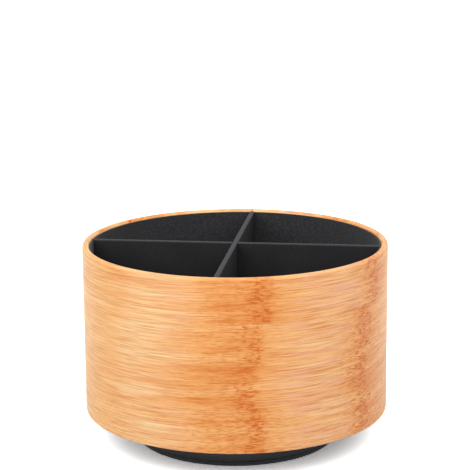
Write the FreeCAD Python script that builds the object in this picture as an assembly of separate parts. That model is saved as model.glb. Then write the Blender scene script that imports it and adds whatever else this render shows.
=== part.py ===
import FreeCAD, Part
import math
import os

# A round desk organizer: a bamboo box with four compartments that turns on a ball-bearing foot.
# Millimetres, +Z up. The origin is the centre of the foot's underside, on the axis that the box turns about.
# The front is -Y. The long divider runs along X, from left to right, and the cross divider along Y.

# Bamboo shell: bent bamboo laminate, rounded at the rim, with its two ends glued in a seam at the back.
shell_outer_dia = 180.0
shell_height = 100.0
shell_wall = 4.0
rim_round = 1.8
lower_edge_round = 0.7
seam_width = 0.4
seam_depth = 0.4
skirt_drop = 4.0  # how far the shell hangs below the floor panel, to hide the bearing

# Foot: a painted board disc on a glued pad of foam.
foot_dia = 119.0
foot_disc_thickness = 12.3
foot_edge_round = 0.7
pad_thickness = 2.2
driver_hole_dia = 9.0  # lets a screwdriver reach the upper plate's screws, one at a time, from below

# Ball bearing: two pressed plates, one rolled over the other at the centre, with balls in a cage between.
plate_side = 76.0
plate_corner_round = 7.0
plate_sheet = 1.0
plate_hole_dia = 3.6
plate_hole_inset = 8.0
ball_dia = 4.0
ball_count = 12
race_dia = 52.0
race_clearance = 0.08
race_flank_angle = 36.0
groove_lift = 0.92  # from the groove's outside to the board that the plate is screwed to
dome_width = 3.4  # of the slope from a plate's flat rim up to its groove
rim_overlap = 2.0  # the pressed ring runs this far into the flat rim
collar_gap = 0.9  # between the cage and the lower plate's turned-up collar
collar_play = 0.4  # between the collar and the upper plate, sideways and up
collar_lap = 1.5  # how far the collar's rolled edge covers the upper plate's edge
cage_thickness = 1.2
cage_play = 0.4
cage_width = 8.0
pocket_clearance = 0.15

# Screws of the two bearing plates.
screw_shank_dia = 2.9
screw_head_dia = 6.4
screw_head_height = 1.6
screw_fit = 0.05
upper_screw_cover = 1.5  # board left over the tips of the upper screws
lower_screw_cover = 4.5  # board left under the tips of the lower screws

# Floor panel and dividers: thin boards. The dividers halve into each other and stand in grooves in the floor.
floor_panel_thickness = 6.0
divider_thickness = 3.0
divider_drop = 1.2  # from the rim down to the dividers' top edges
divider_edge_round = 0.6
divider_seat_depth = 2.0

# Lining: felt glued to the shell and the floor, cut to each compartment.
lining_thickness = 1.0
lining_drop = 1.5  # from the rim down to the lining's top edge
glue_gap = 0.1
board_fit = 0.1

# Building aids.
overrun = 5.0
edge_use_share = 0.98
round_sag = 0.07  # how far the straight steps that stand for a round may run inside its arc
ball_sides = 12
ball_rings = 6

shell_r = shell_outer_dia / 2
shell_inner_r = shell_r - shell_wall
foot_r = foot_dia / 2
ball_r = ball_dia / 2
race_r = race_dia / 2
half_sheet = plate_sheet / 2
collar_r = race_r - cage_width / 2 - collar_gap - half_sheet
half_divider = divider_thickness / 2
screw_shank_r = screw_shank_dia / 2

bearing_height = ball_dia + 2 * (race_clearance + plate_sheet + groove_lift)
foot_under_z = pad_thickness
foot_top_z = foot_under_z + foot_disc_thickness
ball_z = foot_top_z + bearing_height / 2
panel_under_z = foot_top_z + bearing_height
panel_top_z = panel_under_z + floor_panel_thickness
divider_under_z = panel_top_z - divider_seat_depth
shell_under_z = panel_under_z - skirt_drop
rim_z = shell_under_z + shell_height
divider_top_z = rim_z - divider_drop
lining_top_z = rim_z - lining_drop
lap_z = (divider_under_z + divider_top_z) / 2

plate_hole_reach = plate_side / 2 - plate_hole_inset
lining_inner_r = shell_inner_r - glue_gap - lining_thickness


def point(radius, height):
    return FreeCAD.Vector(radius, 0, height)


def softened(corners):
    """Points of an outline in the XZ plane, from corners of (radius, height) or (radius, height, round).

    A round is drawn as the straight steps that its sag allows, and it shrinks where its edges can't hold it.
    """
    places = [point(*corner[:2]) for corner in corners]
    rounds = [corner[2] if len(corner) > 2 else 0 for corner in corners]
    count = len(places)
    to_last = [(places[i - 1] - places[i]).normalize() for i in range(count)]
    to_next = [(places[(i + 1) % count] - places[i]).normalize() for i in range(count)]
    half_angle = [to_last[i].getAngle(to_next[i]) / 2 for i in range(count)]
    reach = [rounds[i] / math.tan(half_angle[i]) for i in range(count)]
    fit = [1.0] * count
    for i in range(count):
        j = (i + 1) % count
        room = places[i].distanceToPoint(places[j]) * edge_use_share
        if reach[i] + reach[j] > room:
            fit[i] = min(fit[i], room / (reach[i] + reach[j]))
            fit[j] = min(fit[j], room / (reach[i] + reach[j]))
    points = []
    for i in range(count):
        if rounds[i] == 0:
            points.append(places[i])
            continue
        radius = rounds[i] * fit[i]
        inward = (to_last[i] + to_next[i]).normalize()
        centre = places[i] + inward * (radius / math.sin(half_angle[i]))
        sideways = (to_next[i] - to_last[i]).normalize()
        swept = math.pi - 2 * half_angle[i]
        steps = math.ceil(swept / (2 * math.acos(1 - min(round_sag / radius, 1))))
        for k in range(steps + 1):
            angle = swept * (k / steps - 1 / 2)
            points.append(centre + sideways * (radius * math.sin(angle)) - inward * (radius * math.cos(angle)))
    return points


def flat_face(points):
    return Part.Face(Part.makePolygon(points + points[:1]))


def turned(corners):
    """The outline of the corners, turned a full circle about the Z axis."""
    return flat_face(softened(corners)).revolve(FreeCAD.Vector(0, 0, 0), FreeCAD.Vector(0, 0, 1), 360)


def pressed_ring(centre_line):
    """Sheet metal turned about Z, along a centre line of corners such as softened takes."""
    places = [point(*corner[:2]) for corner in centre_line]
    directions = [(end - start).normalize() for start, end in zip(places, places[1:])]
    one_side = []
    other_side = []
    for i, place in enumerate(places):
        before = directions[max(i - 1, 0)]
        after = directions[min(i, len(directions) - 1)]
        along = (before + after).normalize()
        across = point(-along.z, along.x) * (half_sheet / math.cos(before.getAngle(after) / 2))
        turns_left = before.x * after.z > before.z * after.x
        tighter = half_sheet if turns_left else -half_sheet
        left = place + across
        right = place - across
        one_side.append((left.x, left.z, *[bend - tighter for bend in centre_line[i][2:]]))
        other_side.append((right.x, right.z, *[bend + tighter for bend in centre_line[i][2:]]))
    return turned(one_side + other_side[::-1])


def cylinder(radius, low_z, high_z, x=0, y=0):
    return Part.makeCylinder(radius, high_z - low_z, FreeCAD.Vector(x, y, low_z))


def block(low_x, high_x, low_y, high_y, low_z, high_z):
    corner = FreeCAD.Vector(low_x, low_y, low_z)
    return Part.makeBox(high_x - low_x, high_y - low_y, high_z - low_z, corner)


def plate_corners():
    reach = plate_hole_reach
    return [(-reach, -reach), (reach, -reach), (reach, reach), (-reach, reach)]


def bamboo_shell():
    corners = [
        (shell_inner_r, shell_under_z, lower_edge_round),
        (shell_r, shell_under_z, lower_edge_round),
        (shell_r, rim_z, rim_round),
        (shell_inner_r, rim_z, rim_round),
    ]
    half_seam = seam_width / 2
    seam = block(-half_seam, half_seam, shell_r - seam_depth, shell_r + overrun, shell_under_z - overrun,
                 rim_z + overrun)
    return turned(corners).cut(seam)


def anti_slip_pad():
    return cylinder(foot_r, 0, foot_under_z)


def foot_disc():
    body = turned([
        (0, foot_under_z),
        (foot_r, foot_under_z, foot_edge_round),
        (foot_r, foot_top_z, foot_edge_round),
        (0, foot_top_z),
    ])
    hole_low_z = foot_under_z + lower_screw_cover - screw_fit
    for x, y in plate_corners():
        body = body.cut(cylinder(screw_shank_r + screw_fit, hole_low_z, foot_top_z + overrun, x, y))
    driver_r = driver_hole_dia / 2
    driver_y = math.hypot(plate_hole_reach, plate_hole_reach)
    return body.cut(cylinder(driver_r, foot_under_z - overrun, foot_top_z + overrun, 0, driver_y))


def race_line():
    """Half of the bearing's pressed section, from the flat rim to the lip inside the groove.

    Heights are from the board that the plate is screwed to, and the groove is round about the balls.
    """
    flank = math.radians(race_flank_angle)
    groove_r = ball_r + race_clearance + half_sheet
    groove_z = bearing_height / 2 - groove_r / math.cos(flank)
    lip_z = bearing_height / 2 - cage_thickness / 2 - cage_play - half_sheet
    lip_reach = (lip_z - groove_z) / math.tan(flank)
    slope_r = race_r + lip_reach + dome_width
    return [
        (slope_r + rim_overlap, half_sheet),
        (slope_r, half_sheet),
        (race_r + lip_reach, lip_z),
        (race_r, groove_z, groove_r),
        (race_r - lip_reach, lip_z),
    ]


def flat_rim(inner_r):
    """The square, flat part of a plate, lying on z = 0, with its four screw holes."""
    half = plate_side / 2
    rim = block(-half, half, -half, half, 0, plate_sheet)
    upright = [edge for edge in rim.Edges if abs(edge.tangentAt(edge.FirstParameter).z) > 0]
    rim = rim.makeFillet(plate_corner_round, upright)
    rim = rim.cut(cylinder(inner_r, -overrun, plate_sheet + overrun))
    for x, y in plate_corners():
        rim = rim.cut(cylinder(plate_hole_dia / 2, -overrun, plate_sheet + overrun, x, y))
    return rim


def plate(centre_line):
    """A pressed plate lying on z = 0: the turned ring of the centre line fused into the flat square rim."""
    ring_r = centre_line[0][0]
    return flat_rim(ring_r - rim_overlap / 2).fuse(pressed_ring(centre_line)).removeSplitter()


def bearing_lower_plate():
    line = race_line()
    lip_z = line[-1][1]
    rolled_z = bearing_height - lip_z + half_sheet + collar_play + half_sheet
    upper_edge_r = collar_r + half_sheet + collar_play
    line += [
        (collar_r, lip_z),
        (collar_r, rolled_z),
        (upper_edge_r + collar_lap, rolled_z),
    ]
    return plate(line).translated(FreeCAD.Vector(0, 0, foot_top_z))


def bearing_upper_plate():
    line = race_line()
    lip_z = line[-1][1]
    line += [(collar_r + half_sheet + collar_play, lip_z)]
    turned_over = plate(line).rotated(FreeCAD.Vector(0, 0, 0), FreeCAD.Vector(1, 0, 0), 180)
    return turned_over.translated(FreeCAD.Vector(0, 0, panel_under_z))


def ball_places():
    for i in range(ball_count):
        angle = math.radians(360 * i / ball_count)
        yield race_r * math.cos(angle), race_r * math.sin(angle)


def ball():
    """A ball about the origin in flat facets, from rings of corners that lie on its sphere."""
    rings = []
    for i in range(ball_rings):
        latitude = math.pi * ((i + 1 / 2) / ball_rings - 1 / 2)
        ring_r = ball_r * math.cos(latitude)
        angles = [2 * math.pi * j / ball_sides for j in range(ball_sides)]
        height = ball_r * math.sin(latitude)
        rings.append([FreeCAD.Vector(ring_r * math.cos(a), ring_r * math.sin(a), height) for a in angles])
    faces = [flat_face(rings[0]), flat_face(rings[-1])]
    for low, high in zip(rings, rings[1:]):
        for j in range(ball_sides):
            faces.append(flat_face([low[j - 1], low[j], high[j], high[j - 1]]))
    return Part.makeSolid(Part.makeShell(faces))


def bearing_balls():
    one = ball()
    return Part.makeCompound([one.translated(FreeCAD.Vector(x, y, ball_z)) for x, y in ball_places()])


def ball_cage():
    low_z = ball_z - cage_thickness / 2
    high_z = ball_z + cage_thickness / 2
    ring = cylinder(race_r + cage_width / 2, low_z, high_z)
    ring = ring.cut(cylinder(race_r - cage_width / 2, low_z - overrun, high_z + overrun))
    for x, y in ball_places():
        ring = ring.cut(cylinder(ball_r + pocket_clearance, low_z - overrun, high_z + overrun, x, y))
    return ring


def screw(length):
    """A wood screw with its seat on z = 0, its head above and its shank below."""
    return cylinder(screw_shank_dia / 2, -length, 0).fuse(cylinder(screw_head_dia / 2, 0, screw_head_height))


def lower_plate_screws():
    seat_z = foot_top_z + plate_sheet
    one = screw(plate_sheet + foot_disc_thickness - lower_screw_cover)
    return Part.makeCompound([one.translated(FreeCAD.Vector(x, y, seat_z)) for x, y in plate_corners()])


def upper_plate_screws():
    seat_z = panel_under_z - plate_sheet
    one = screw(plate_sheet + floor_panel_thickness - upper_screw_cover)
    one = one.rotated(FreeCAD.Vector(0, 0, 0), FreeCAD.Vector(1, 0, 0), 180)
    return Part.makeCompound([one.translated(FreeCAD.Vector(x, y, seat_z)) for x, y in plate_corners()])


def floor_panel():
    panel_r = shell_inner_r - glue_gap
    body = cylinder(panel_r, panel_under_z, panel_top_z)
    half_groove = half_divider + board_fit
    reach = panel_r + overrun
    high_z = panel_top_z + overrun
    body = body.cut(block(-reach, reach, -half_groove, half_groove, divider_under_z, high_z))
    body = body.cut(block(-half_groove, half_groove, -reach, reach, divider_under_z, high_z))
    hole_high_z = panel_top_z - upper_screw_cover + screw_fit
    for x, y in plate_corners():
        body = body.cut(cylinder(screw_shank_r + screw_fit, panel_under_z - overrun, hole_high_z, x, y))
    return body


def divider():
    """A board across the box along X, its top edges rounded and its ends cut to the curve of the shell."""
    reach = shell_inner_r + overrun
    section = softened([
        (-half_divider, divider_under_z),
        (half_divider, divider_under_z),
        (half_divider, divider_top_z, divider_edge_round),
        (-half_divider, divider_top_z, divider_edge_round),
    ])
    board = flat_face(section).extrude(FreeCAD.Vector(0, 2 * reach, 0)).translated(FreeCAD.Vector(0, -reach, 0))
    board = board.rotated(FreeCAD.Vector(0, 0, 0), FreeCAD.Vector(0, 0, 1), 90)
    return board.common(cylinder(shell_inner_r - glue_gap, divider_under_z, divider_top_z))


def lap_slot(low_z, high_z):
    half_slot = half_divider + board_fit
    return block(-half_slot, half_slot, -half_slot, half_slot, low_z, high_z)


def long_divider():
    return divider().cut(lap_slot(lap_z, divider_top_z + overrun))


def cross_divider():
    board = divider().rotated(FreeCAD.Vector(0, 0, 0), FreeCAD.Vector(0, 0, 1), 90)
    return board.cut(lap_slot(divider_under_z - overrun, lap_z))


def quadrant(low_z, high_z):
    """The space of the back right compartment between the dividers' faces, out past the shell."""
    near = half_divider + board_fit
    far = shell_r + overrun
    return block(near, far, near, far, low_z, high_z)


def wall_lining():
    ring = cylinder(shell_inner_r - glue_gap, panel_top_z, lining_top_z)
    ring = ring.cut(cylinder(lining_inner_r, panel_top_z - overrun, lining_top_z + overrun))
    return ring.common(quadrant(panel_top_z, lining_top_z))


def floor_lining():
    high_z = panel_top_z + lining_thickness
    return cylinder(lining_inner_r - glue_gap, panel_top_z, high_z).common(quadrant(panel_top_z, high_z))


pieces = {
    "anti_slip_pad": anti_slip_pad(),
    "foot_disc": foot_disc(),
    "bearing_lower_plate": bearing_lower_plate(),
    "lower_plate_screws": lower_plate_screws(),
    "ball_cage": ball_cage(),
    "bearing_balls": bearing_balls(),
    "bearing_upper_plate": bearing_upper_plate(),
    "upper_plate_screws": upper_plate_screws(),
    "floor_panel": floor_panel(),
    "bamboo_shell": bamboo_shell(),
    "long_divider": long_divider(),
    "cross_divider": cross_divider(),
}
compartments = ["back_right", "back_left", "front_left", "front_right"]
for quarter, compartment in enumerate(compartments):
    for name, lining in (("wall_lining", wall_lining()), ("floor_lining", floor_lining())):
        turned_round = lining.rotated(FreeCAD.Vector(0, 0, 0), FreeCAD.Vector(0, 0, 1), 90 * quarter)
        pieces[f"{name}_{compartment}"] = turned_round

os.makedirs("parts", exist_ok=True)
for name, shape in pieces.items():
    shape.exportStep(f"parts/{name}.step")
    print(name, "solids", len(shape.Solids), "volume", round(shape.Volume, 1), "valid", shape.isValid())
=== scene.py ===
"""The looks of a round desk organizer: a bamboo box with four felt-lined compartments on a turntable foot.

Sizes are in metres, and those of the pattern in the bamboo in mm.
"""
import math

import bmesh
import bpy
from mathutils import Matrix, Vector


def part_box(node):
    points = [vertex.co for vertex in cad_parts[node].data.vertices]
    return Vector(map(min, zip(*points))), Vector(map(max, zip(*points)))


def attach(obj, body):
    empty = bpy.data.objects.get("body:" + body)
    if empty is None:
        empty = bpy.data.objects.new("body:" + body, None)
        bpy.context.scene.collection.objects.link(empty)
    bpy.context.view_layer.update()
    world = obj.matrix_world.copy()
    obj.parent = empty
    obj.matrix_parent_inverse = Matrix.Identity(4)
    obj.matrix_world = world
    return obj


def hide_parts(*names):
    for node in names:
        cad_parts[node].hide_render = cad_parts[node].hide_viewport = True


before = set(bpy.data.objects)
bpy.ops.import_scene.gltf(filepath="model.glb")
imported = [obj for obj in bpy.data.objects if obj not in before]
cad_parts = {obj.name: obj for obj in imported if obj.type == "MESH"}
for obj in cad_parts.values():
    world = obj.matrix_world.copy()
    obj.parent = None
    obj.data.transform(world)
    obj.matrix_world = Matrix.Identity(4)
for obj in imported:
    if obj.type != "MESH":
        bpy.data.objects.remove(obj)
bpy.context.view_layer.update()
bpy.ops.object.select_all(action="DESELECT")


# Anti-slip pad: a disc of black closed-cell foam, die-cut and glued under the foot. Its cut edge stays a
# little soft, and the pores of its skin grip the desk.
def linear(srgb_hex):
    """An sRGB hex colour as the linear colour, with alpha, that a socket takes."""
    shares = [int(srgb_hex[i:i + 2], 16) / 255 for i in (1, 3, 5)]
    return [s / 12.92 if s <= 0.04045 else ((s + 0.055) / 1.055) ** 2.4 for s in shares] + [1.0]


def add(tree, kind, inputs=None, **settings):
    """Adds a node with its settings and links. A node given as an input is read at its first output."""
    made = tree.nodes.new(kind)
    for name, value in settings.items():
        setattr(made, name, value)
    for name, value in (inputs or {}).items():
        if isinstance(value, bpy.types.Node):
            value = value.outputs[0]
        if isinstance(value, bpy.types.NodeSocket):
            tree.links.new(value, made.inputs[name])
        else:
            made.inputs[name].default_value = value
    return made


def fill_ramp(ramp, stops):
    """Sets a ramp's stops from rows of a position from 0 to 1 and the colour or three values held there."""
    ramp.elements.remove(ramp.elements[1])
    for number, (position, *values) in enumerate(stops):
        stop = ramp.elements[0] if number == 0 else ramp.elements.new(position)
        stop.position = position
        stop.color = (*values[:3], 1.0)


def new_finish(name, **constants):
    """A new material with its shader's constants set by input name, and the parts that a pattern hangs on."""
    finish = bpy.data.materials.new(name)
    finish.use_nodes = True
    tree = finish.node_tree
    shader = tree.nodes["Principled BSDF"]
    for socket, value in constants.items():
        shader.inputs[socket.replace("_", " ")].default_value = value
    return finish, tree, shader


def dress(piece, finish):
    """Gives a new piece, or every slot of a carried-over one, a finish."""
    if not piece.material_slots:
        piece.data.materials.append(finish)
    for slot in piece.material_slots:
        slot.material = finish


def choose(piece, kind, test):
    """In edit mode, selects the verts, edges or faces of which every corner passes the test."""
    bpy.ops.mesh.select_mode(type={"verts": "VERT", "edges": "EDGE", "faces": "FACE"}[kind])
    bpy.ops.mesh.select_all(action="DESELECT")
    mesh = bmesh.from_edit_mesh(piece.data)
    for part in getattr(mesh, kind):
        corners = [part] if kind == "verts" else part.verts
        if all(test(corner.co) for corner in corners):
            part.select_set(True)
    bmesh.update_edit_mesh(piece.data)


round_sides = 192
weld_gap = 0.000002
touch = 0.00001  # corners no further off than this lie on a level
smooth_under = math.radians(30)


def finish_shape():
    """Leaves edit mode with doubles merged, normals outward and rounds shaded smooth."""
    bpy.ops.mesh.select_all(action="SELECT")
    bpy.ops.mesh.remove_doubles(threshold=weld_gap)
    bpy.ops.mesh.normals_make_consistent(inside=False)
    bpy.ops.object.mode_set(mode="OBJECT")
    bpy.ops.object.shade_smooth_by_angle(angle=smooth_under)


def new_disc(name, node, edge_round):
    """A disc that fills a round node, with softened edges, left in edit mode."""
    low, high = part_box(node)
    bpy.ops.object.select_all(action="DESELECT")
    bpy.ops.mesh.primitive_cylinder_add(
        vertices=round_sides, radius=high[0], depth=high[2] - low[2], location=(0, 0, (low[2] + high[2]) / 2))
    disc = bpy.context.object
    disc.name = name
    bpy.ops.object.transform_apply()
    bpy.ops.object.mode_set(mode="EDIT")
    for level in (low[2], high[2]):
        choose(disc, "edges", lambda co, level=level: abs(co.z - level) < touch)
        bpy.ops.mesh.bevel(offset=edge_round, segments=4, affect="EDGES")
    return disc


pad = new_disc("foam_pad", "anti_slip_pad", edge_round=0.0003)
finish_shape()
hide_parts("anti_slip_pad")
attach(pad, "foot")

# EVA foam: black and matt, with a painted sheen: its pores are painted slightly grey, as where light grazes
# them. Real pores of 0.2 mm are too fine to show and are drawn at 0.7 mm.
pore = 0.0007
pore_depth = pore / 6
blotch = 12 * pore
foam, tree, shader = new_finish("eva_foam", Roughness=0.85)
place = add(tree, "ShaderNodeTexCoord").outputs["Object"]
pores = add(tree, "ShaderNodeTexVoronoi", {"Vector": place, "Scale": 1 / pore})
blotches = add(tree, "ShaderNodeTexNoise", {"Vector": place, "Scale": 1 / blotch, "Detail": 3.0})
# Painted sheen: the pores are painted lighter grey, mottled in blotches.
pore_sheen = add(tree, "ShaderNodeMath", {0: pores, 1: blotches}, operation="MULTIPLY")
colour = add(tree, "ShaderNodeValToRGB", {"Fac": pore_sheen})
fill_ramp(colour.color_ramp, [(0.0, *linear("#303236")), (1.0, *linear("#484A4F"))])
dents = add(tree, "ShaderNodeBump", {"Strength": 0.5, "Distance": pore_depth, "Height": pores})
tree.links.new(colour.outputs["Color"], shader.inputs["Base Color"])
tree.links.new(dents.outputs["Normal"], shader.inputs["Normal"])
dress(pad, foam)


# Foot: a disc of fibreboard with routed edges, sprayed satin black. Four pilot holes take the lower plate's
# screws, and the wider hole lets a screwdriver through to the upper ones before the pad covers it.
foot_edge_round = 0.0007
screw_reach = 0.030
pilot_hole_r = 0.0015
pilot_hole_under = 0.00665
driver_hole_r = 0.0045
foot_low, foot_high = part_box("foot_disc")
hole_overrun = 0.002
hole_sides = 48


def cut_away(piece, cutter):
    """Takes the cutter's shape out of a piece."""
    cut = piece.modifiers.new("cut", "BOOLEAN")
    cut.object = cutter
    cut.operation = "DIFFERENCE"
    cut.solver = "EXACT"
    bpy.context.view_layer.objects.active = piece
    bpy.ops.object.modifier_apply(modifier=cut.name)
    bpy.data.objects.remove(cutter)


def drill(board, radius, x, y, low, high):
    """Cuts an upright round hole through a board."""
    bpy.ops.object.select_all(action="DESELECT")
    bpy.ops.mesh.primitive_cylinder_add(
        vertices=hole_sides, radius=radius, depth=high - low, location=(x, y, (low + high) / 2))
    cut_away(board, bpy.context.object)


foot = new_disc("painted_foot", "foot_disc", foot_edge_round)
finish_shape()
for corner_x in (-screw_reach, screw_reach):
    for corner_y in (-screw_reach, screw_reach):
        drill(foot, pilot_hole_r, corner_x, corner_y, pilot_hole_under, foot_high[2] + hole_overrun)
drill(foot, driver_hole_r, 0, math.hypot(screw_reach, screw_reach), foot_low[2] - hole_overrun,
      foot_high[2] + hole_overrun)
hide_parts("foot_disc")
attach(foot, "foot")

# Satin lacquer sprayed on sanded fibreboard: near black, with the orange peel of the spray gun and a gloss
# that clouds a little from place to place.
orange_peel = 0.0016
peel_depth = orange_peel / 12
lacquer_cloud = 20 * orange_peel
paint, tree, shader = new_finish("satin_black_lacquer", Roughness=0.42, IOR=1.5)
place = add(tree, "ShaderNodeTexCoord").outputs["Object"]
peel = add(tree, "ShaderNodeTexNoise", {"Vector": place, "Scale": 1 / orange_peel, "Detail": 2.0})
clouds = add(tree, "ShaderNodeTexNoise", {"Vector": place, "Scale": 1 / lacquer_cloud, "Detail": 3.0})
colour = add(tree, "ShaderNodeValToRGB", {"Fac": clouds})
fill_ramp(colour.color_ramp, [(0.3, *linear("#2A2C31")), (0.7, *linear("#34363B"))])
gloss = add(tree, "ShaderNodeMapRange", {"Value": clouds, "To Min": 0.36, "To Max": 0.50})
ripple = add(tree, "ShaderNodeBump", {"Strength": 0.15, "Distance": peel_depth, "Height": peel})
tree.links.new(colour.outputs["Color"], shader.inputs["Base Color"])
tree.links.new(gloss.outputs["Result"], shader.inputs["Roughness"])
tree.links.new(ripple.outputs["Normal"], shader.inputs["Normal"])
dress(foot, paint)


# Bearing plates: two squares of steel sheet, pressed with a round groove for the balls and zinc plated.
# The lower one's collar is rolled over the upper one, which holds the bearing together.
draw_mark = 0.0004
draw_depth = draw_mark / 10
spangle = 0.006

# Bright zinc on pressed steel: bluish white metal, mottled by the plating, with the ring marks of the press.
zinc, tree, shader = new_finish("zinc_plated_steel", Metallic=1.0, Roughness=0.32)
place = add(tree, "ShaderNodeTexCoord").outputs["Object"]
split = add(tree, "ShaderNodeSeparateXYZ", {0: place})
flat = add(tree, "ShaderNodeCombineXYZ", {0: split.outputs["X"], 1: split.outputs["Y"]})
reach = add(tree, "ShaderNodeVectorMath", {0: flat}, operation="LENGTH").outputs["Value"]
rings = add(tree, "ShaderNodeTexNoise", {
    "W": reach, "Scale": 1 / draw_mark, "Detail": 2.0}, noise_dimensions="1D")
mottle = add(tree, "ShaderNodeTexVoronoi", {"Vector": place, "Scale": 1 / spangle}, feature="SMOOTH_F1")
colour = add(tree, "ShaderNodeValToRGB", {"Fac": mottle})
fill_ramp(colour.color_ramp, [(0.0, *linear("#C3C7CC")), (1.0, *linear("#A9ADB3"))])
gloss = add(tree, "ShaderNodeMapRange", {"Value": rings, "To Min": 0.24, "To Max": 0.42})
scores = add(tree, "ShaderNodeBump", {"Strength": 0.2, "Distance": draw_depth, "Height": rings})
tree.links.new(colour.outputs["Color"], shader.inputs["Base Color"])
tree.links.new(gloss.outputs["Result"], shader.inputs["Roughness"])
tree.links.new(scores.outputs["Normal"], shader.inputs["Normal"])
for node in ("bearing_lower_plate", "bearing_upper_plate"):
    dress(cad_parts[node], zinc)


# Plate screws: eight pan-head wood screws with a cross recess, headed from steel wire and zinc plated. Four
# hold each plate, and the heads sit in the space between the plates' flat rims.
screw_sides = 32
screw_head_r = 0.0032
screw_head_height = 0.0016
screw_head_round = 0.0011
screw_shank_r = 0.00145
screw_point = 0.0020
recess_span = 0.0034
recess_width = 0.0009
recess_depth = 0.0009


def new_screw(name, length):
    """A screw standing on its point, its seat on z = 0, with its cross recess cut."""
    bpy.ops.object.select_all(action="DESELECT")
    bpy.ops.mesh.primitive_cylinder_add(
        vertices=screw_sides, radius=screw_head_r, depth=screw_head_height,
        location=(0, 0, screw_head_height / 2))
    screw = bpy.context.object
    screw.name = name
    bpy.ops.object.transform_apply()
    bpy.ops.object.mode_set(mode="EDIT")
    choose(screw, "edges", lambda co: abs(co.z - screw_head_height) < touch)
    bpy.ops.mesh.bevel(offset=screw_head_round, segments=5, affect="EDGES")
    choose(screw, "faces", lambda co: abs(co.z) < touch)
    bpy.ops.mesh.inset(thickness=screw_head_r - screw_shank_r)
    bpy.ops.mesh.extrude_region_move(TRANSFORM_OT_translate={"value": (0, 0, screw_point - length)})
    bpy.ops.mesh.extrude_region_move(TRANSFORM_OT_translate={"value": (0, 0, -screw_point)})
    bpy.ops.mesh.merge(type="CENTER")
    finish_shape()
    for span_x, span_y in ((recess_span, recess_width), (recess_width, recess_span)):
        bpy.ops.mesh.primitive_cube_add(
            size=1, scale=(span_x, span_y, 2 * recess_depth), location=(0, 0, screw_head_height))
        cut_away(screw, bpy.context.object)
    return screw


def copy_of(piece, move):
    """A copy of a piece, with its own mesh moved by a matrix."""
    bpy.ops.object.select_all(action="DESELECT")
    piece.select_set(True)
    bpy.context.view_layer.objects.active = piece
    bpy.ops.object.duplicate()
    bpy.context.object.data.transform(move)
    return bpy.context.object


def joined(pieces, name):
    """One piece from several."""
    bpy.ops.object.select_all(action="DESELECT")
    for piece in pieces:
        piece.select_set(True)
    bpy.context.view_layer.objects.active = pieces[0]
    bpy.ops.object.join()
    pieces[0].name = name
    return pieces[0]


# Zinc plated in a barrel: a shade yellower and duller than on the plates, with small nicks.
screw_finish, tree, shader = new_finish("zinc_plated_screw", Metallic=1.0, Roughness=0.36)
place = add(tree, "ShaderNodeTexCoord").outputs["Object"]
wear = add(tree, "ShaderNodeTexNoise", {"Vector": place, "Scale": 1 / draw_mark, "Detail": 3.0})
colour = add(tree, "ShaderNodeValToRGB", {"Fac": wear})
fill_ramp(colour.color_ramp, [(0.0, *linear("#B9B6A8")), (1.0, *linear("#D2CFC2"))])
nicks = add(tree, "ShaderNodeBump", {"Strength": 0.2, "Distance": draw_depth, "Height": wear})
tree.links.new(colour.outputs["Color"], shader.inputs["Base Color"])
tree.links.new(nicks.outputs["Normal"], shader.inputs["Normal"])

for node, body, heads_up in (
        ("lower_plate_screws", "foot", True),
        ("upper_plate_screws", "organizer", False)):
    low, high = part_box(node)
    seat = high[2] - screw_head_height if heads_up else low[2] + screw_head_height
    way_up = Matrix.Identity(4) if heads_up else Matrix.Rotation(math.pi, 4, "X")
    screw = new_screw(f"{node}_pattern", high[2] - low[2] - screw_head_height)
    screws = [copy_of(screw, Matrix.Translation((corner_x, corner_y, seat)) @ way_up)
              for corner_x in (-screw_reach, screw_reach) for corner_y in (-screw_reach, screw_reach)]
    bpy.data.objects.remove(screw)
    screws = joined(screws, f"{node}_turned")
    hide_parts(node)
    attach(screws, body)
    dress(screws, screw_finish)


# Ball cage: a thin ring moulded in natural nylon, with a pocket for each ball. It lies loose between the
# plates and keeps the balls apart.
flow_mark = 0.003
flow_depth = flow_mark / 60
glow_depth = 0.0008

# Natural nylon: milky white, with faint flow marks of the mould, and light gets a little way into its skin.
cage_finish, tree, shader = new_finish("natural_nylon", Roughness=0.45, Subsurface_Weight=0.15)
shader.inputs["Subsurface Radius"].default_value = (glow_depth, glow_depth, glow_depth)
place = add(tree, "ShaderNodeTexCoord").outputs["Object"]
flow = add(tree, "ShaderNodeTexNoise", {"Vector": place, "Scale": 1 / flow_mark, "Detail": 2.0})
colour = add(tree, "ShaderNodeValToRGB", {"Fac": flow})
fill_ramp(colour.color_ramp, [(0.0, *linear("#E0DCCF")), (1.0, *linear("#EDEADF"))])
skin = add(tree, "ShaderNodeBump", {"Strength": 0.1, "Distance": flow_depth, "Height": flow})
tree.links.new(colour.outputs["Color"], shader.inputs["Base Color"])
tree.links.new(skin.outputs["Normal"], shader.inputs["Normal"])
dress(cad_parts["ball_cage"], cage_finish)


# Bearing balls: twelve balls of hardened chrome steel, ground and lapped to a mirror. They roll in the
# plates' grooves and carry the box.
ball_count = 12
ball_r = 0.0020
race_r = 0.0260
ball_low, ball_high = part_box("bearing_balls")
bpy.ops.object.select_all(action="DESELECT")
bpy.ops.mesh.primitive_cube_add(size=2 * ball_r, location=(race_r, 0, (ball_low[2] + ball_high[2]) / 2))
ball = bpy.context.object
bpy.ops.object.mode_set(mode="EDIT")
bpy.ops.mesh.subdivide(number_cuts=9)
bpy.ops.object.mode_set(mode="OBJECT")
ground = ball.modifiers.new("ground_round", "CAST")
ground.factor = 1.0
ground.size = ball_r
ground.use_radius_as_size = False
bpy.ops.object.modifier_apply(modifier=ground.name)
bpy.ops.object.shade_smooth()
bpy.ops.object.transform_apply()
balls = [copy_of(ball, Matrix.Rotation(math.tau * i / ball_count, 4, "Z")) for i in range(ball_count)]
bpy.data.objects.remove(ball)
balls = joined(balls, "steel_balls")
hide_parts("bearing_balls")
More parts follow.
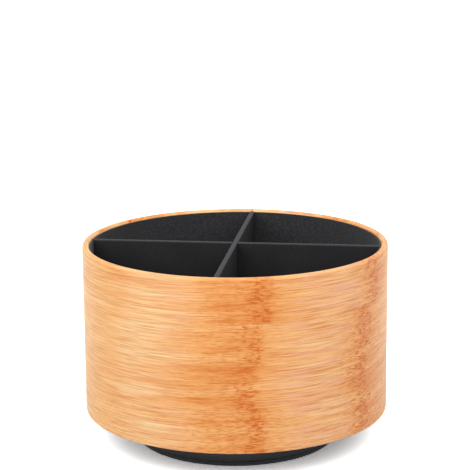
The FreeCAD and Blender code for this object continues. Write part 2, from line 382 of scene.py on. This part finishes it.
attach(balls, "ball_ring")

# Lapped chrome steel: a mirror with a faint film of oil, which varies its gloss.
oil_patch = 2 * ball_r
ball_finish, tree, shader = new_finish("lapped_chrome_steel", Metallic=1.0)
shader.inputs["Base Color"].default_value = linear("#D9DADC")
place = add(tree, "ShaderNodeTexCoord").outputs["Object"]
film = add(tree, "ShaderNodeTexNoise", {"Vector": place, "Scale": 1 / oil_patch, "Detail": 2.0})
gloss = add(tree, "ShaderNodeMapRange", {"Value": film, "To Min": 0.06, "To Max": 0.16})
tree.links.new(gloss.outputs["Result"], shader.inputs["Roughness"])
dress(balls, ball_finish)


# Floor panel: a round of fibreboard, grooved for the dividers and painted with the foot's satin black. It
# is glued into the shell, and the upper plate is screwed to its underside.
dress(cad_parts["floor_panel"], paint)


# Bamboo shell: wide strips of bamboo glued edge to edge, bent into a band, glued end to end at the back,
# rounded at the rim and lacquered. The strips run round the box, so their knuckles stand upright on the
# wall.
shell_low, shell_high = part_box("bamboo_shell")
shell_r = shell_high[0]
shell_wall = 0.0040
rim_round = 0.0018
lower_edge_round = 0.0007
seam_width = 0.0004
seam_depth = 0.0004
seam_stretch = 0.004  # the facets of the wall up to this far to either side of the seam are cut for it
shell_sides = 256

bpy.ops.object.select_all(action="DESELECT")
bpy.ops.mesh.primitive_plane_add(
    size=1, rotation=(math.pi / 2, 0, 0),
    location=(shell_r - shell_wall / 2, 0, (shell_low[2] + shell_high[2]) / 2))
shell = bpy.context.object
shell.name = "bent_bamboo_band"
shell.scale = (shell_wall, shell_high[2] - shell_low[2], 1)
bpy.ops.object.transform_apply()
bpy.ops.object.mode_set(mode="EDIT")
for level, edge_round, steps in ((shell_high[2], rim_round, 8), (shell_low[2], lower_edge_round, 4)):
    choose(shell, "verts", lambda co, level=level: abs(co.z - level) < touch)
    bpy.ops.mesh.bevel(offset=edge_round, segments=steps, affect="VERTICES")
bpy.ops.mesh.select_all(action="SELECT")
bpy.ops.mesh.delete(type="ONLY_FACE")
bpy.ops.mesh.select_all(action="SELECT")
bpy.ops.mesh.spin(steps=shell_sides, angle=math.tau, center=(0, 0, 0), axis=(0, 0, 1))
for side in (-seam_width / 2, seam_width / 2):
    choose(shell, "faces", lambda co: co.y > 0 and abs(co.x) < seam_stretch)
    bpy.ops.mesh.bisect(plane_co=(side, 0, 0), plane_no=(1, 0, 0))
choose(shell, "faces", lambda co: abs(co.x) < seam_width / 2 + touch and co.y > shell_r - seam_depth)
bpy.ops.mesh.extrude_region_move(TRANSFORM_OT_translate={"value": (0, -seam_depth, 0)})
finish_shape()
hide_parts("bamboo_shell")
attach(shell, "organizer")

# Caramel bamboo under clear satin lacquer. Long pale and orange fibres run along each strip. Toward a
# knuckle the strip turns orange, at the knuckle it has short red-brown dashes and wavy fibres, and past it
# the strip is paler.
strip_height = 24.0
# Each strip's lower edge in mm above the desk, the shift of its front and of its right knuckle in mm, and
# its depth of tone.
strips = (
    (18.0, 2.0, 0.0, 0.47),
    (20.8, 2.0, 0.0, 0.47),
    (44.8, -3.9, -4.7, 0.51),
    (68.8, 0.0, 0.0, 0.46),
    (92.8, 5.2, 11.0, 0.51),
    (116.8, 5.0, 9.0, 0.50),
)
# Places round the wall in degrees from the front round to the right, and there the depth of tone, the
# knuckle's strength and the fibres' climb in mm.
lengths = (
    (-180, 0.40, 0.0, 0.0),
    (-134, 0.60, 0.1, 1.0),
    (-128, 0.80, 1.0, 1.5),
    (-124, 0.55, 0.0, 2.0),
    (-90, 0.30, 0.0, 3.0),
    (-60, 0.32, 0.0, 4.0),
    (-50, 0.42, 0.0, 3.5),
    (-42, 0.42, 0.0, 3.0),
    (-35, 0.25, 0.0, 2.6),
    (-28, 0.19, 0.0, 2.3),
    (-18, 0.31, 0.0, 1.8),
    (-12, 0.48, 0.1, 1.5),
    (-4, 0.68, 0.2, 1.0),
    (8, 0.73, 0.3, 0.3),
    (11, 0.78, 0.9, 0.1),
    (15, 0.82, 1.0, 0.0),
    (16.5, 0.70, 0.3, 0.0),
    (18, 0.63, 0.0, 0.0),
    (24, 0.52, 0.0, 0.0),
    (32, 0.36, 0.0, 0.0),
    (44, 0.30, 0.0, 0.0),
    (50, 0.40, 0.2, 0.0),
    (57, 0.66, 0.5, 0.0),
    (60, 0.74, 1.0, 0.0),
    (64, 0.76, 1.0, 0.0),
    (66, 0.68, 0.3, 0.0),
    (72, 0.64, 0.1, -0.5),
    (80, 0.52, 0.0, -1.0),
    (135, 0.62, 0.1, -0.7),
    (141, 0.82, 1.0, -0.5),
    (145, 0.44, 0.0, 0.0),
    (180, 0.40, 0.0, 0.0),
)
# The wood's colour by its depth of tone.
tones = (
    (0.00, "#FFDCA6"),
    (0.25, "#FFCB8F"),
    (0.50, "#FBBC78"),
    (0.75, "#F1A459"),
    (1.00, "#E68A3A"),
)
# The grain's layers, with the length and height of their streaks in mm.
grain_sizes = (
    ("bands", 90.0, 6.0),
    ("streaks", 45.0, 1.8),
    ("fibres", 24.0, 0.4),
    ("ends", 5.5, 0.42),
    ("blush", 30.0, 2.0),
    ("dashes", 3.6, 0.65),
)
# More sizes in mm. The right side, about halfway between the front knuckles and the right ones, and the
# honey's middle are counted round the wall from the front.
clump_size = 4.0
knuckle_wander = 2.2
climb_span = 10.0
shift_span = 30.0
right_side = 62.0
honey_middle = -90.0
glue_width = 0.9
seam_shadow = 0.5
# Steps in the noise that make each strip and each layer of grain its own, the value that the fibres' noise
# swings about, and the relief of the fibres under the lacquer, in metres.
strip_apart = 7.3
layer_apart = 1.7
fibre_middle = 0.46
lacquer_relief = 0.00006

bamboo, tree, shader = new_finish("lacquered_bamboo", Roughness=0.42, IOR=1.5)

# Places on the wall in mm: along the strip from the front round to the right, and upward, on over the rim.
split = add(tree, "ShaderNodeSeparateXYZ", {0: add(tree, "ShaderNodeTexCoord").outputs["Object"]})
toward_front = add(tree, "ShaderNodeMath", {0: split.outputs["Y"], 1: -1.0}, operation="MULTIPLY")
turn = add(tree, "ShaderNodeMath", {0: split.outputs["X"], 1: toward_front}, operation="ARCTAN2")
along = add(tree, "ShaderNodeMath", {0: turn, 1: shell_r * 1000}, operation="MULTIPLY")
flat = add(tree, "ShaderNodeCombineXYZ", {0: split.outputs["X"], 1: split.outputs["Y"]})
reach = add(tree, "ShaderNodeVectorMath", {0: flat}, operation="LENGTH").outputs["Value"]
inward = add(tree, "ShaderNodeMath", {0: shell_r, 1: reach}, operation="SUBTRACT")
upward = add(tree, "ShaderNodeMath", {0: split.outputs["Z"], 1: inward}, operation="ADD")
upward = add(tree, "ShaderNodeMath", {0: upward, 1: 1000.0}, operation="MULTIPLY")

# The fibres climb a little round the left side. Their climb is read before the strips are told apart.
half_turn = math.pi * shell_r * 1000
turn_stops = [(degrees / 360 + 0.5, depth, knuckle, 0.5 + climb / climb_span)
              for degrees, depth, knuckle, climb in lengths]
place = add(tree, "ShaderNodeMapRange", {"Value": along, "From Min": -half_turn, "From Max": half_turn})
table = add(tree, "ShaderNodeValToRGB", {"Fac": place})
fill_ramp(table.color_ramp, turn_stops)
climb = add(tree, "ShaderNodeMapRange", {
    "Value": add(tree, "ShaderNodeSeparateColor", {0: table}).outputs[2],
    "To Min": -climb_span / 2, "To Max": climb_span / 2})
across = add(tree, "ShaderNodeMath", {0: upward, 1: climb}, operation="ADD")

# Each strip has its own depth of tone, and its knuckles sit a little apart from its neighbours'. A Mix node
# takes its share as input 0, two numbers as 2 and 3, and two colours as 6 and 7.
strip_edge = add(tree, "ShaderNodeMath", {0: across, 1: strips[1][0]}, operation="SUBTRACT")
strip_count = add(tree, "ShaderNodeMath", {0: strip_edge, 1: strip_height}, operation="DIVIDE")
strip_number = add(tree, "ShaderNodeMath", {0: strip_count}, operation="FLOOR")
strip_share = add(tree, "ShaderNodeMath", {0: strip_count}, operation="FRACT")
lowest, highest = strips[0][0], strips[-1][0] + strip_height
place = add(tree, "ShaderNodeMapRange", {"Value": across, "From Min": lowest, "From Max": highest})
table = add(tree, "ShaderNodeValToRGB", {"Fac": place})
table.color_ramp.interpolation = "CONSTANT"
fill_ramp(table.color_ramp, [
    ((edge - lowest) / (highest - lowest), 0.5 + front / shift_span, 0.5 + right / shift_span, depth)
    for edge, front, right, depth in strips])
strip = add(tree, "ShaderNodeSeparateColor", {0: table})
on_right = add(tree, "ShaderNodeMapRange", {
    "Value": along, "From Min": right_side - 10, "From Max": right_side + 10})
shift = add(tree, "ShaderNodeMix", {0: on_right, 2: strip.outputs[0], 3: strip.outputs[1]})
shift = add(tree, "ShaderNodeMapRange", {"Value": shift, "To Min": -shift_span / 2, "To Max": shift_span / 2})
wander = add(tree, "ShaderNodeTexNoise", {
    "W": across, "Scale": 1 / clump_size, "Detail": 3.0}, noise_dimensions="1D")
wander = add(tree, "ShaderNodeMapRange", {
    "Value": wander, "From Min": 0.25, "From Max": 0.75, "To Min": -knuckle_wander, "To Max": knuckle_wander})
placed = add(tree, "ShaderNodeMath", {0: along, 1: shift}, operation="SUBTRACT")
placed = add(tree, "ShaderNodeMath", {0: placed, 1: wander}, operation="SUBTRACT")
place = add(tree, "ShaderNodeMapRange", {"Value": placed, "From Min": -half_turn, "From Max": half_turn})
table = add(tree, "ShaderNodeValToRGB", {"Fac": place})
fill_ramp(table.color_ramp, turn_stops)
length = add(tree, "ShaderNodeSeparateColor", {0: table})
depth = length.outputs[0]
knuckle = length.outputs[1]

# The grain: noises drawn out along the strip, each strip with its own. At a knuckle the fibres swirl.
at = add(tree, "ShaderNodeCombineXYZ", {0: along, 1: across, 2: strip_number})
at = add(tree, "ShaderNodeVectorMath", {
    0: at, 1: (1 / clump_size, 1 / clump_size, strip_apart)}, operation="MULTIPLY")
clumps = add(tree, "ShaderNodeTexNoise", {"Vector": at, "Scale": 1.0, "Detail": 1.0})
swirl_height = add(tree, "ShaderNodeMapRange", {"Value": knuckle, "To Min": 0.3, "To Max": 1.1})
swirl = add(tree, "ShaderNodeMath", {0: clumps, 1: swirl_height}, operation="MULTIPLY")
wavy = add(tree, "ShaderNodeMath", {0: across, 1: swirl}, operation="ADD")
grain = {}
for layer, (name, streak_length, streak_height) in enumerate(grain_sizes):
    at = add(tree, "ShaderNodeCombineXYZ", {0: along, 1: wavy, 2: strip_number})
    at = add(tree, "ShaderNodeVectorMath", {
        0: at, 1: (1 / streak_length, 1 / streak_height, strip_apart), 2: (0.0, 0.0, layer_apart * layer)},
        operation="MULTIPLY_ADD")
    grain[name] = add(tree, "ShaderNodeTexNoise", {
        "Vector": at, "Scale": 1.0, "Detail": 1.0, "Roughness": 0.6})

# Ground colour: the strip's depth of tone and the length's, with broad bands and streaks.
tone = add(tree, "ShaderNodeMath", {0: depth, 1: strip.outputs[2]}, operation="ADD")
tone = add(tree, "ShaderNodeMath", {0: tone, 1: 0.5}, operation="SUBTRACT")
for name, strength in (("bands", 0.18), ("streaks", 0.12)):
    swing = add(tree, "ShaderNodeMapRange", {
        "Value": grain[name], "From Min": 0.25, "From Max": 0.75, "To Min": -strength, "To Max": strength})
    tone = add(tree, "ShaderNodeMath", {0: tone, 1: swing}, operation="ADD")
colour = add(tree, "ShaderNodeValToRGB", {"Fac": tone})
fill_ramp(colour.color_ramp, [(position, *linear(srgb_hex)) for position, srgb_hex in tones])

# Honey: a stretch of yellower wood on the left.
from_honey = add(tree, "ShaderNodeMath", {0: along, 1: honey_middle}, operation="SUBTRACT")
from_honey = add(tree, "ShaderNodeMath", {0: from_honey}, operation="ABSOLUTE")
honey_share = add(tree, "ShaderNodeMapRange", {
    "Value": from_honey, "From Min": 10.0, "From Max": 35.0, "To Min": 0.4, "To Max": 0.0})
honeyed = add(tree, "ShaderNodeMix", {
    0: honey_share, 6: colour, 7: linear("#FBC468")}, data_type="RGBA").outputs[2]

# Blush: a pinker pale wood in soft streaks, more of it round the right side.
pink_side = add(tree, "ShaderNodeMapRange", {
    "Value": along, "From Min": -60.0, "From Max": 40.0, "To Min": 0.15, "To Max": 1.0})
pink_pale = add(tree, "ShaderNodeMapRange", {
    "Value": depth, "From Min": 0.40, "From Max": 0.62, "To Min": 1.0, "To Max": 0.0})
blush_share = add(tree, "ShaderNodeMapRange", {"Value": grain["blush"], "From Min": 0.35, "From Max": 0.75})
blush_share = add(tree, "ShaderNodeMath", {0: blush_share, 1: pink_side}, operation="MULTIPLY")
blush_share = add(tree, "ShaderNodeMath", {0: blush_share, 1: pink_pale}, operation="MULTIPLY")
blushed = add(tree, "ShaderNodeMix", {
    0: blush_share, 6: honeyed, 7: linear("#F6B48C")}, data_type="RGBA").outputs[2]

# Fibres: long ones in the pale wood, and more short ends in the orange wood and at the knuckles, most of
# all in the lowest strip. They are plainer to see round the right side and in the orange wood.
ends_share = add(tree, "ShaderNodeMapRange", {
    "Value": depth, "From Min": 0.35, "From Max": 0.75, "To Min": 0.25, "To Max": 0.92})
lower_strip = add(tree, "ShaderNodeMapRange", {
    "Value": across, "From Min": strips[2][0] - 1, "From Max": strips[2][0], "To Min": 1.0, "To Max": 0.5})
ends_share = add(tree, "ShaderNodeMath", {0: ends_share, 1: lower_strip}, operation="MULTIPLY")
fibres = add(tree, "ShaderNodeMix", {0: ends_share, 2: grain["fibres"], 3: grain["ends"]})
plainer = add(tree, "ShaderNodeMapRange", {
    "Value": along, "From Min": 15.0, "From Max": 60.0, "To Min": 1.0, "To Max": 1.5})
plainer_orange = add(tree, "ShaderNodeMapRange", {
    "Value": depth, "From Min": 0.45, "From Max": 0.70, "To Max": 0.5})
plainer = add(tree, "ShaderNodeMath", {0: plainer, 1: plainer_orange}, operation="ADD")
fibres = add(tree, "ShaderNodeMix", {0: plainer, 2: fibre_middle, 3: fibres}, clamp_factor=False)
fibre_colour = add(tree, "ShaderNodeValToRGB", {"Fac": fibres})
fill_ramp(fibre_colour.color_ramp, [(0.36, 0.77, 0.52, 0.28), (0.55, 1.0, 1.0, 1.0)])
fibred = add(tree, "ShaderNodeMix", {
    0: 1.0, 6: blushed, 7: fibre_colour}, data_type="RGBA", blend_type="MULTIPLY").outputs[2]

# Knuckles: short red-brown dashes, in clumps.
dash_share = add(tree, "ShaderNodeMapRange", {
    "Value": grain["dashes"], "From Min": 0.47, "From Max": 0.58, "To Max": 0.85})
dash_share = add(tree, "ShaderNodeMath", {0: dash_share, 1: knuckle}, operation="MULTIPLY")
clumped = add(tree, "ShaderNodeMapRange", {
    "Value": clumps, "From Min": 0.38, "From Max": 0.54, "To Min": 0.2, "To Max": 1.0})
dash_share = add(tree, "ShaderNodeMath", {0: dash_share, 1: clumped}, operation="MULTIPLY")
dash_share = add(tree, "ShaderNodeMath", {0: dash_share, 1: plainer}, operation="MULTIPLY", use_clamp=True)
marked = add(tree, "ShaderNodeMix", {
    0: dash_share, 6: fibred, 7: linear("#CE640E")}, data_type="RGBA").outputs[2]

# Glue: thin darker lines between the strips, plain in some stretches and lost in others, and at the seam a
# dark line that is partly glue and partly painted shade in its narrow groove.
edge_near = add(tree, "ShaderNodeMath", {0: strip_share, 1: 0.5}, operation="SUBTRACT")
edge_near = add(tree, "ShaderNodeMath", {0: edge_near}, operation="ABSOLUTE")
glue_line = add(tree, "ShaderNodeMapRange", {
    "Value": edge_near, "From Min": 0.5 - glue_width / 2 / strip_height, "From Max": 0.5, "To Max": 0.55})
glue_line = add(tree, "ShaderNodeMath", {0: glue_line, 1: grain["blush"]}, operation="MULTIPLY")
lined = add(tree, "ShaderNodeMix", {
    0: glue_line, 6: marked, 7: linear("#C87A3E")}, data_type="RGBA").outputs[2]
# Partly painted shade: the seam's dark line is its glue and the shade of its groove.
from_front = add(tree, "ShaderNodeMath", {0: along}, operation="ABSOLUTE")
seam_glue_and_shade = add(tree, "ShaderNodeMapRange", {
    "Value": from_front, "From Min": half_turn - seam_shadow, "From Max": half_turn - seam_width * 1000 / 2,
    "To Max": 0.7})
seamed = add(tree, "ShaderNodeMix", {
    0: seam_glue_and_shade, 6: lined, 7: linear("#6B3E1F")}, data_type="RGBA").outputs[2]
gloss = add(tree, "ShaderNodeMapRange", {"Value": fibres, "To Min": 0.36, "To Max": 0.50})
relief = add(tree, "ShaderNodeBump", {"Strength": 0.10, "Distance": lacquer_relief, "Height": fibres})
tree.links.new(seamed, shader.inputs["Base Color"])
tree.links.new(gloss.outputs["Result"], shader.inputs["Roughness"])
tree.links.new(relief.outputs["Normal"], shader.inputs["Normal"])
dress(shell, bamboo)


# Dividers: two thin black-faced boards, halved into each other at the centre and stood in the floor's
# grooves. Their long top edges are sanded round.
divider_edge_round = 0.0006
slot_play = 0.0001
divider_low, divider_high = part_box("long_divider")
lap_z = (divider_low[2] + divider_high[2]) / 2


def new_board(name, node):
    """A board that fills a divider's node, its two long top edges rounded."""
    low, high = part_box(node)
    size = [high[i] - low[i] for i in range(3)]
    bpy.ops.object.select_all(action="DESELECT")
    bpy.ops.mesh.primitive_cube_add(size=1, location=[(low[i] + high[i]) / 2 for i in range(3)])
    board = bpy.context.object
    board.name = name
    board.scale = size
    bpy.ops.object.transform_apply()
    bpy.ops.object.mode_set(mode="EDIT")
    long_way = 0 if size[0] > size[1] else 1
    thin_way = 1 - long_way
    for face in (low[thin_way], high[thin_way]):
        choose(board, "edges", lambda co, face=face: (
            abs(co.z - high[2]) < touch and abs(co[thin_way] - face) < touch))
        bpy.ops.mesh.bevel(offset=divider_edge_round, segments=5, affect="EDGES")
    finish_shape()
    return board


def halve(board, low_z, high_z):
    """Cuts the slot that the other divider slides into."""
    slot_width = 2 * (divider_high[1] + slot_play)
    bpy.ops.object.select_all(action="DESELECT")
    bpy.ops.mesh.primitive_cube_add(
        size=1, scale=(slot_width, slot_width, high_z - low_z), location=(0, 0, (low_z + high_z) / 2))
    cut_away(board, bpy.context.object)


long_board = new_board("long_board", "long_divider")
halve(long_board, lap_z, divider_high[2] + hole_overrun)
cross_board = new_board("cross_board", "cross_divider")
halve(cross_board, divider_low[2] - hole_overrun, lap_z)

# Black melamine paper on fibreboard: flat, even and nearly matt. Its rounded top edges are painted a little
# greyer, a painted highlight where light from above catches them. The paper's tooth of 0.1 mm is too fine
# to show and is drawn at 0.9 mm.
paper_tooth = 0.0009
tooth_depth = paper_tooth / 15
paper_cloud = 0.030
edge_light_from = divider_high[2] - 1.4 * divider_edge_round
edge_light_full = divider_high[2] - 0.3 * divider_edge_round
board_finish, tree, shader = new_finish(
    "black_paper_faced_board", Roughness=0.62, IOR=1.45, Specular_IOR_Level=0.25)
place = add(tree, "ShaderNodeTexCoord").outputs["Object"]
tooth = add(tree, "ShaderNodeTexNoise", {"Vector": place, "Scale": 1 / paper_tooth, "Detail": 3.0})
clouds = add(tree, "ShaderNodeTexNoise", {"Vector": place, "Scale": 1 / paper_cloud, "Detail": 2.0})
both = add(tree, "ShaderNodeMath", {0: tooth, 1: clouds}, operation="MULTIPLY")
colour = add(tree, "ShaderNodeValToRGB", {"Fac": both})
fill_ramp(colour.color_ramp, [(0.1, *linear("#151517")), (0.45, *linear("#222224"))])
height = add(tree, "ShaderNodeSeparateXYZ", {0: place}).outputs["Z"]
# Painted highlight: the rounded top edges are painted lighter grey, broken up by the paper's tooth.
lit_edge_share = add(tree, "ShaderNodeMapRange", {
    "Value": height, "From Min": edge_light_from, "From Max": edge_light_full})
lit_edge_share = add(tree, "ShaderNodeMath", {0: lit_edge_share, 1: tooth}, operation="MULTIPLY")
lit_edge_colour = add(tree, "ShaderNodeMix", {
    0: lit_edge_share, 6: colour, 7: linear("#3B3B3E")}, data_type="RGBA").outputs[2]
relief = add(tree, "ShaderNodeBump", {"Strength": 0.25, "Distance": tooth_depth, "Height": tooth})
tree.links.new(lit_edge_colour, shader.inputs["Base Color"])
tree.links.new(relief.outputs["Normal"], shader.inputs["Normal"])
for board, node in ((long_board, "long_divider"), (cross_board, "cross_divider")):
    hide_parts(node)
    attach(board, "organizer")
    dress(board, board_finish)


# Felt lining: 1 mm black felt glued to the wall and the floor of each compartment, cut to stop just under
# the rim. The cut edges are soft, and one compartment's two pieces are turned round for the other three.
felt_round = 0.00035
felt_thickness = 0.0010
wall_low, wall_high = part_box("wall_lining_back_right")
floor_low, floor_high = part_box("floor_lining_back_right")
near = wall_low[0]  # the felt's edge, beside half a divider
lining_r = math.hypot(wall_high[0], near)
floor_r = math.hypot(floor_high[0], near)


def cut_quarter():
    """Keeps the part of a round felt, in edit mode, that lies in the back right compartment."""
    for normal in ((1, 0, 0), (0, 1, 0)):
        bpy.ops.mesh.select_all(action="SELECT")
        bpy.ops.mesh.bisect(plane_co=(near, near, 0), plane_no=normal, use_fill=True, clear_inner=True)


bpy.ops.object.select_all(action="DESELECT")
bpy.ops.mesh.primitive_plane_add(
    size=1, rotation=(math.pi / 2, 0, 0),
    location=(lining_r - felt_thickness / 2, 0, (wall_low[2] + wall_high[2]) / 2))
wall_felt = bpy.context.object
wall_felt.scale = (felt_thickness, wall_high[2] - wall_low[2], 1)
bpy.ops.object.transform_apply()
bpy.ops.object.mode_set(mode="EDIT")
choose(wall_felt, "verts", lambda co: abs(co.z - wall_high[2]) < touch)
bpy.ops.mesh.bevel(offset=felt_round, segments=3, affect="VERTICES")
bpy.ops.mesh.select_all(action="SELECT")
bpy.ops.mesh.delete(type="ONLY_FACE")
bpy.ops.mesh.select_all(action="SELECT")
bpy.ops.mesh.spin(steps=round_sides, angle=math.tau, center=(0, 0, 0), axis=(0, 0, 1))
bpy.ops.mesh.select_all(action="SELECT")
bpy.ops.mesh.remove_doubles(threshold=weld_gap)
cut_quarter()
finish_shape()

bpy.ops.object.select_all(action="DESELECT")
bpy.ops.mesh.primitive_cylinder_add(
    vertices=round_sides, radius=floor_r, depth=floor_high[2] - floor_low[2],
    location=(0, 0, (floor_low[2] + floor_high[2]) / 2))
floor_felt = bpy.context.object
bpy.ops.object.transform_apply()
bpy.ops.object.mode_set(mode="EDIT")
cut_quarter()
choose(floor_felt, "edges", lambda co: abs(co.z - floor_high[2]) < touch)
bpy.ops.mesh.bevel(offset=felt_round, segments=3, affect="EDGES")
finish_shape()

# Pressed wool-mix felt: very matt black, with pale fibre ends in clumps of about a millimetre and a faint
# bloom where light grazes it. Its hairs are too fine to show and are drawn 0.4 mm wide.
clump = 0.0011
hair = 0.0004
nap_depth = clump / 8
felt, tree, shader = new_finish(
    "black_pressed_felt", Roughness=0.95, IOR=1.4, Sheen_Weight=0.10, Sheen_Roughness=0.5)
place = add(tree, "ShaderNodeTexCoord").outputs["Object"]
clumps = add(tree, "ShaderNodeTexNoise", {
    "Vector": place, "Scale": 1 / clump, "Detail": 3.0, "Roughness": 0.7})
hairs = add(tree, "ShaderNodeTexNoise", {
    "Vector": place, "Scale": 1 / hair, "Detail": 2.0, "Distortion": 2.0})
fuzz = add(tree, "ShaderNodeMath", {0: clumps, 1: hairs}, operation="MULTIPLY")
colour = add(tree, "ShaderNodeValToRGB", {"Fac": fuzz})
fill_ramp(colour.color_ramp, [(0.18, *linear("#18181A")), (0.42, *linear("#3D3D40"))])
nap = add(tree, "ShaderNodeBump", {"Strength": 0.6, "Distance": nap_depth, "Height": fuzz})
tree.links.new(colour.outputs["Color"], shader.inputs["Base Color"])
tree.links.new(nap.outputs["Normal"], shader.inputs["Normal"])

# The wall's piece is cut as a strip, the floor's as a quarter round less the dividers' half thickness.
wall_mid_r = lining_r - felt_thickness / 2
wall_length = wall_mid_r * (math.pi / 2 - 2 * math.asin(near / wall_mid_r))
wall_cut = (wall_length, wall_high[2] - wall_low[2])
floor_cut = (floor_high[0] - near, floor_high[1] - near)
floor_area = floor_r ** 2 * (math.pi / 4 - math.asin(near / floor_r)) - near * (floor_high[0] - near)
for quarter, compartment in enumerate(("back_right", "back_left", "front_left", "front_right")):
    for pattern, part, cut, area, under in (
            (wall_felt, "wall", wall_cut, None, "bamboo_shell"),
            (floor_felt, "floor", floor_cut, floor_area, "floor_panel")):
        cut_felt = copy_of(pattern, Matrix.Rotation(quarter * math.pi / 2, 4, "Z"))
        cut_felt.name = f"{part}_felt_{compartment}"
        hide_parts(f"{part}_lining_{compartment}")
        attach(cut_felt, "organizer")
        dress(cut_felt, felt)
for pattern in (wall_felt, floor_felt):
    bpy.data.objects.remove(pattern)


# Studio: a white sweep under a white tent that is dimmer than its two softboxes. The sweep shows pure
# white to the camera and in the lacquer, keeps the soft shadow under the box, and sends little light back
# up.
sweep_span = 12
camera_gain = 2.0
tent_dimmed = 0.33
bpy.ops.object.select_all(action="DESELECT")
bpy.ops.mesh.primitive_plane_add(size=sweep_span)
sweep = bpy.context.object
sweep.name = "white_sweep"
sweep_finish = bpy.data.materials.new("white_paper")
sweep_finish.use_nodes = True
tree = sweep_finish.node_tree
tree.nodes.remove(tree.nodes["Principled BSDF"])
paper = add(tree, "ShaderNodeBsdfDiffuse", {"Color": linear("#9A9A9A")})
rays = add(tree, "ShaderNodeLightPath")
gain = add(tree, "ShaderNodeMath", {
    0: rays.outputs["Is Camera Ray"], 1: camera_gain, 2: rays.outputs["Is Glossy Ray"]},
    operation="MULTIPLY_ADD")
whiter = add(tree, "ShaderNodeBsdfDiffuse", {
    "Color": add(tree, "ShaderNodeCombineColor", {0: gain, 1: gain, 2: gain})})
lit = add(tree, "ShaderNodeAddShader", {0: paper, 1: whiter})
tree.links.new(lit.outputs[0], tree.nodes["Material Output"].inputs["Surface"])
dress(sweep, sweep_finish)

world = bpy.data.worlds.new("white_tent")
bpy.context.scene.world = world
world.use_nodes = True
tree = world.node_tree
rays = add(tree, "ShaderNodeLightPath")
seen = add(tree, "ShaderNodeMath", {
    0: rays.outputs["Is Camera Ray"], 1: rays.outputs["Is Glossy Ray"]}, operation="MAXIMUM")
tent_light = add(tree, "ShaderNodeMapRange", {"Value": seen, "To Min": tent_dimmed, "To Max": 1.0})
tree.links.new(tent_light.outputs["Result"], tree.nodes["Background"].inputs["Strength"])
tree.nodes["Background"].inputs["Color"].default_value = linear("#FFFFFF")


def shine(name, strength, azimuth, elevation, softness):
    """A soft far light. Azimuth from the front round to the right, elevation and softness are in degrees."""
    lamp = bpy.data.objects.new(name, bpy.data.lights.new(name, "SUN"))
    lamp.data.energy = strength
    lamp.data.angle = math.radians(softness)
    a, e = math.radians(azimuth), math.radians(elevation)
    toward = Vector((math.sin(a) * math.cos(e), -math.cos(a) * math.cos(e), math.sin(e)))
    lamp.rotation_euler = toward.to_track_quat("Z", "Y").to_euler()
    bpy.context.scene.collection.objects.link(lamp)


shine("key_softbox", strength=2.15, azimuth=-45, elevation=40, softness=60)
shine("fill_softbox", strength=1.86, azimuth=56, elevation=42, softness=60)


# Camera: a long lens a metre away, 13 degrees above level and 7 degrees round to the right of the front,
# rolled by less than half a degree as the photograph is.
camera_distance = 0.9908
camera_elevation = math.radians(13.09)
camera_azimuth = math.radians(7.4)
camera_roll = math.radians(-0.42)
camera_lens = 128.8
film_width = 36.0
look_at = Vector((0, 0, 0.1217))
back = Vector((math.sin(camera_azimuth) * math.cos(camera_elevation),
               -math.cos(camera_azimuth) * math.cos(camera_elevation), math.sin(camera_elevation)))
camera = bpy.data.objects.new("camera", bpy.data.cameras.new("camera"))
camera.data.sensor_width = film_width
camera.data.lens = camera_lens
aim = back.to_track_quat("Z", "Y").to_matrix().to_4x4() @ Matrix.Rotation(camera_roll, 4, "Z")
camera.matrix_world = Matrix.Translation(look_at + back * camera_distance) @ aim
bpy.context.scene.collection.objects.link(camera)
bpy.context.scene.camera = camera
bpy.context.scene.view_settings.view_transform = "Standard"
